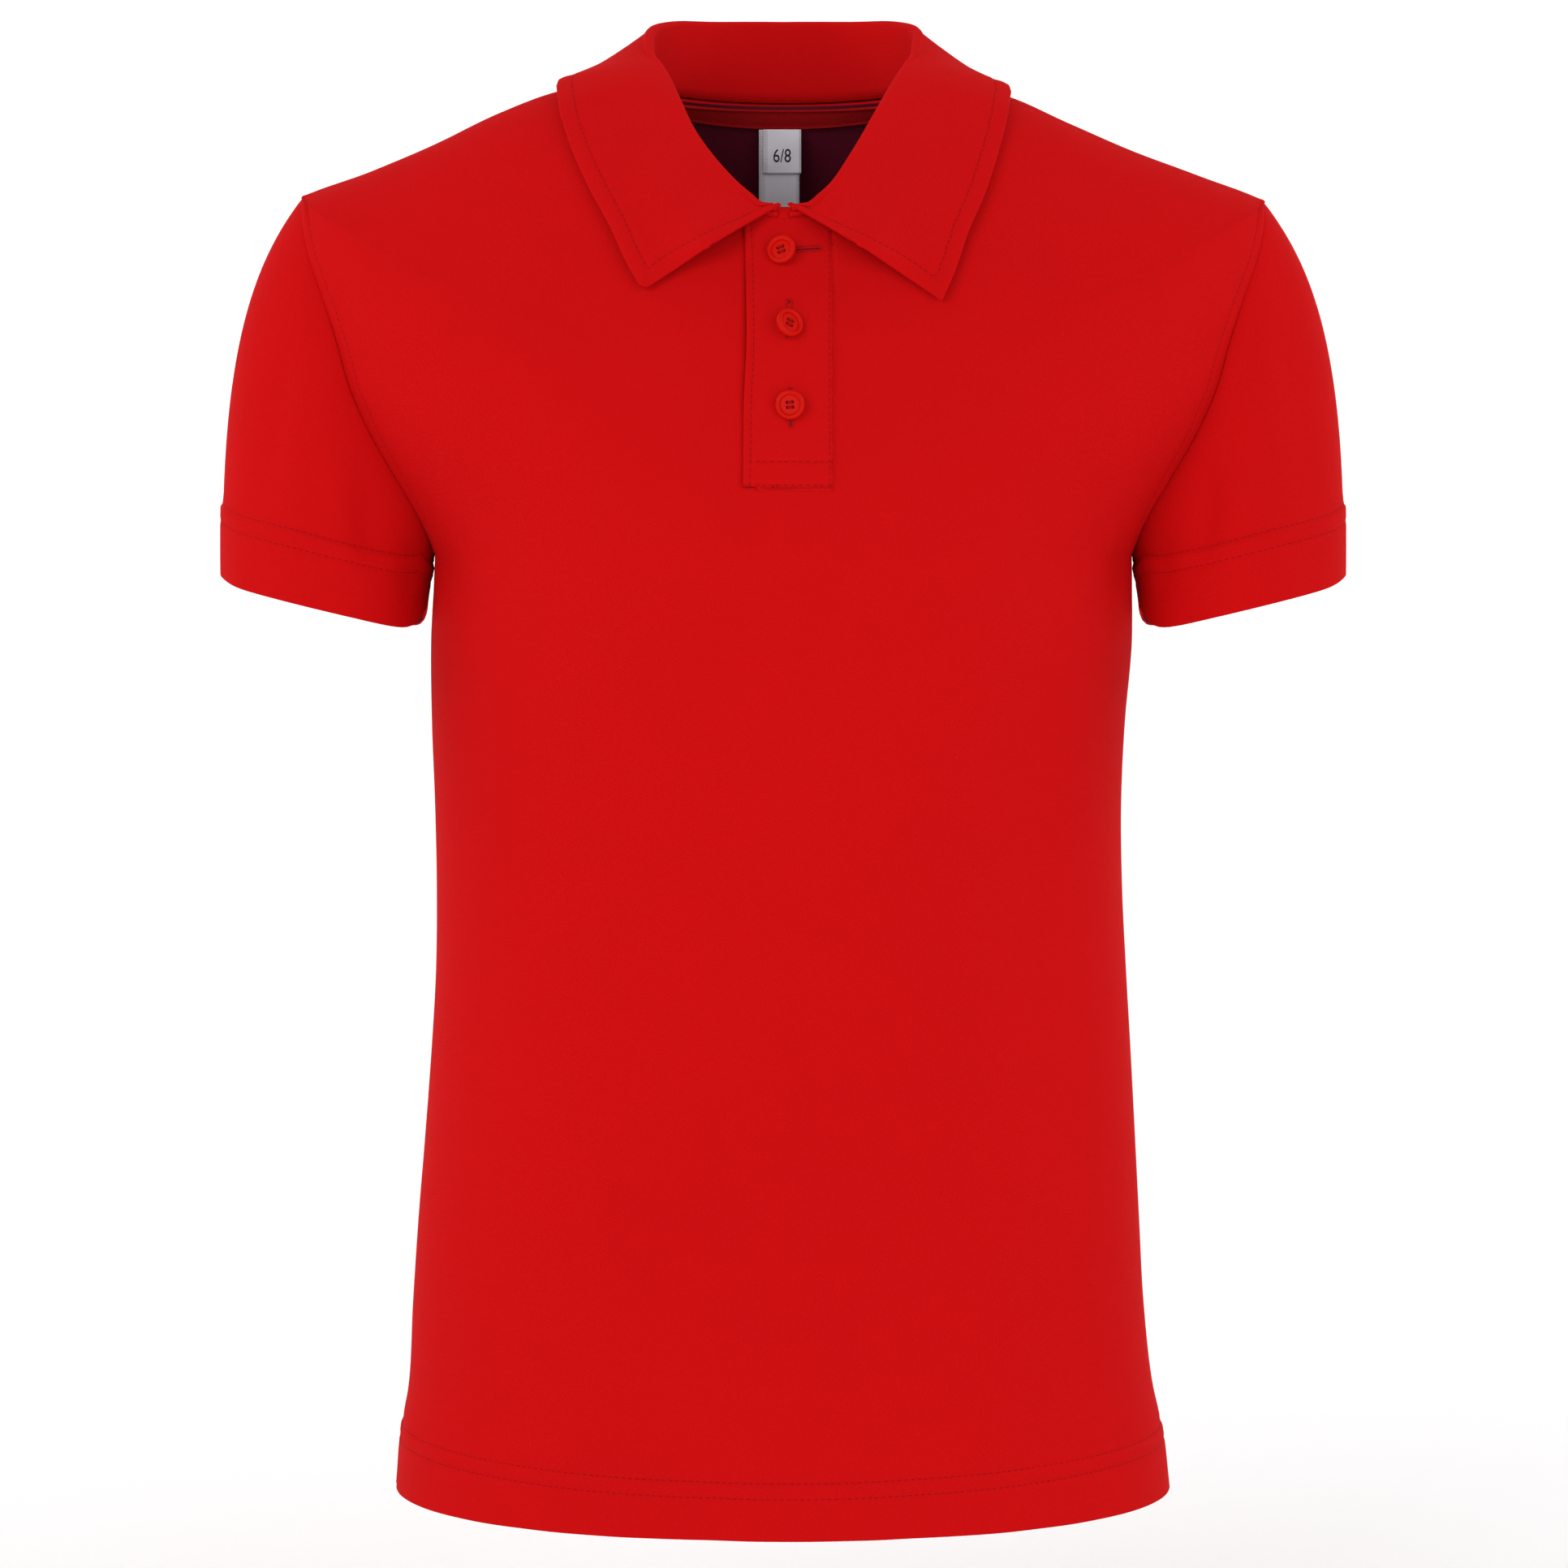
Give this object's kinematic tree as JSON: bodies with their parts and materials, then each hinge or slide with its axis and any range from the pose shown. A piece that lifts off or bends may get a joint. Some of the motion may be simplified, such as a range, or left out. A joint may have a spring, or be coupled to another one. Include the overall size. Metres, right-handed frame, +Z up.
{
  "type": "polo shirt",
  "caption": "Child's short-sleeved polo shirt, worn form with open neck, cuffs and hem, folded collar, buttoned placket and inside labels.",
  "frame": {"origin": "in the neck, midway between the two shoulders at the level where the neck meets them: where the wearer's shoulders hold the shirt", "axes": "+Z up along the body, the front of the shirt faces -Y, +X to the right of a viewer who stands in front"},
  "size_m": [0.4146, 0.1934, 0.549],
  "materials": {
    "knit": "fine smooth cotton knit, matt with a soft nap",
    "satin": "woven satin ribbon with a soft sheen",
    "button": "polished cast resin"
  },
  "bodies": {
    "root": {"front": "knit", "back": "knit", "sleeve_left": "knit", "sleeve_right": "knit", "collar": "knit", "placket_top": "knit", "placket_under": "knit", "neck_tape": "knit", "label_main": "satin", "label_size": "satin", "button_1": "button", "button_2": "button", "button_3": "button"}
  },
  "joints": []
}
